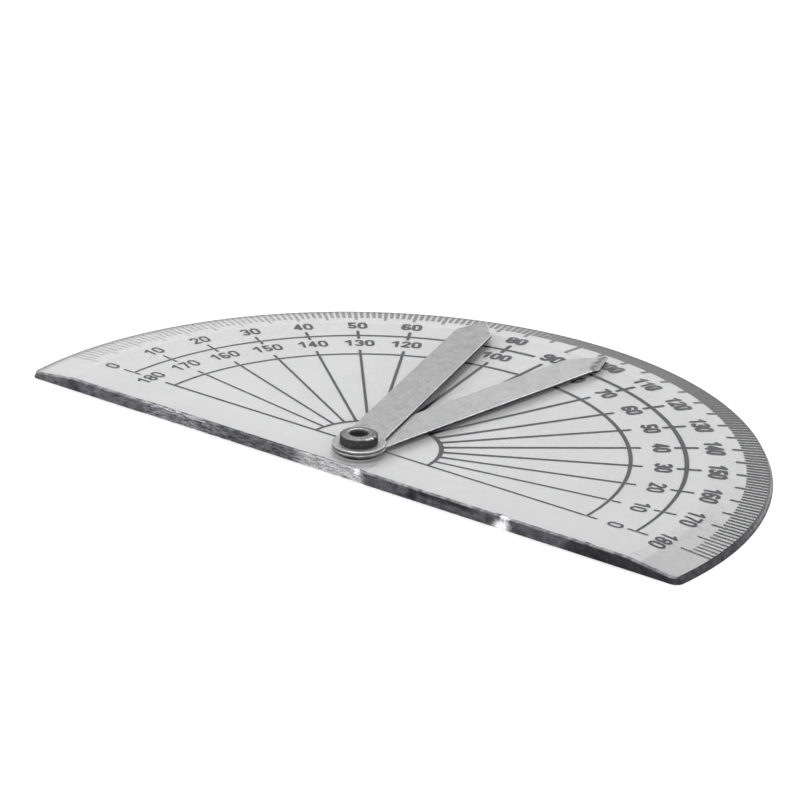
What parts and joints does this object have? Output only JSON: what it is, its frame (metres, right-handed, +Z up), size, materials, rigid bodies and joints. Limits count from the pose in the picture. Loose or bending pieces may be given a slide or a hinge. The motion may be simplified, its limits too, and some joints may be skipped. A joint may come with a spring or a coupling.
{
  "type": "protractor",
  "caption": "Clear half-round protractor with a bevelled, graduated rim and two spear-pointed metal arms that swing on one hollow rivet.",
  "frame": {"origin": "on the pivot's axis, which is the hollow rivet's bore, at the plate's flat underside", "axes": "+X along the straight front edge towards the right of a reader facing the numbers, +Y from that edge to the rim, +Z up out of the printed face"},
  "size_m": [0.1014, 0.0575, 0.0038],
  "materials": {
    "clear_acrylic": "clear acrylic, lightly scratched",
    "arm_metal": "matte, rolled, with rough sheared edges",
    "eyelet_metal": "satin, with bright crimped lip",
    "scale_ink": "dark printed ink"
  },
  "bodies": {
    "root": {"plate": "clear_acrylic", "eyelet": "eyelet_metal", "hub_arc": "scale_ink", "inner_scale_arc": "scale_ink", "outer_scale_arc": "scale_ink", "radial_lines": "scale_ink", "base_line": "scale_ink", "cross_ticks": "scale_ink", "degree_ticks": "scale_ink", "five_degree_ticks": "scale_ink", "ninety_degree_tick": "scale_ink", "outer_numerals": "scale_ink", "inner_numerals": "scale_ink", "ninety_numeral": "scale_ink"},
    "lower_arm": {"lower_arm": "arm_metal"},
    "upper_arm": {"upper_arm": "arm_metal"}
  },
  "joints": [
    {"name": "lower_arm_swing", "type": "hinge", "parent": "root", "child": "lower_arm", "pos_m": [0, 0, 0.00192], "axis": [0, 0, 1], "continuous": true},
    {"name": "upper_arm_swing", "type": "hinge", "parent": "root", "child": "upper_arm", "pos_m": [0, 0, 0.00235], "axis": [0, 0, 1], "continuous": true}
  ]
}
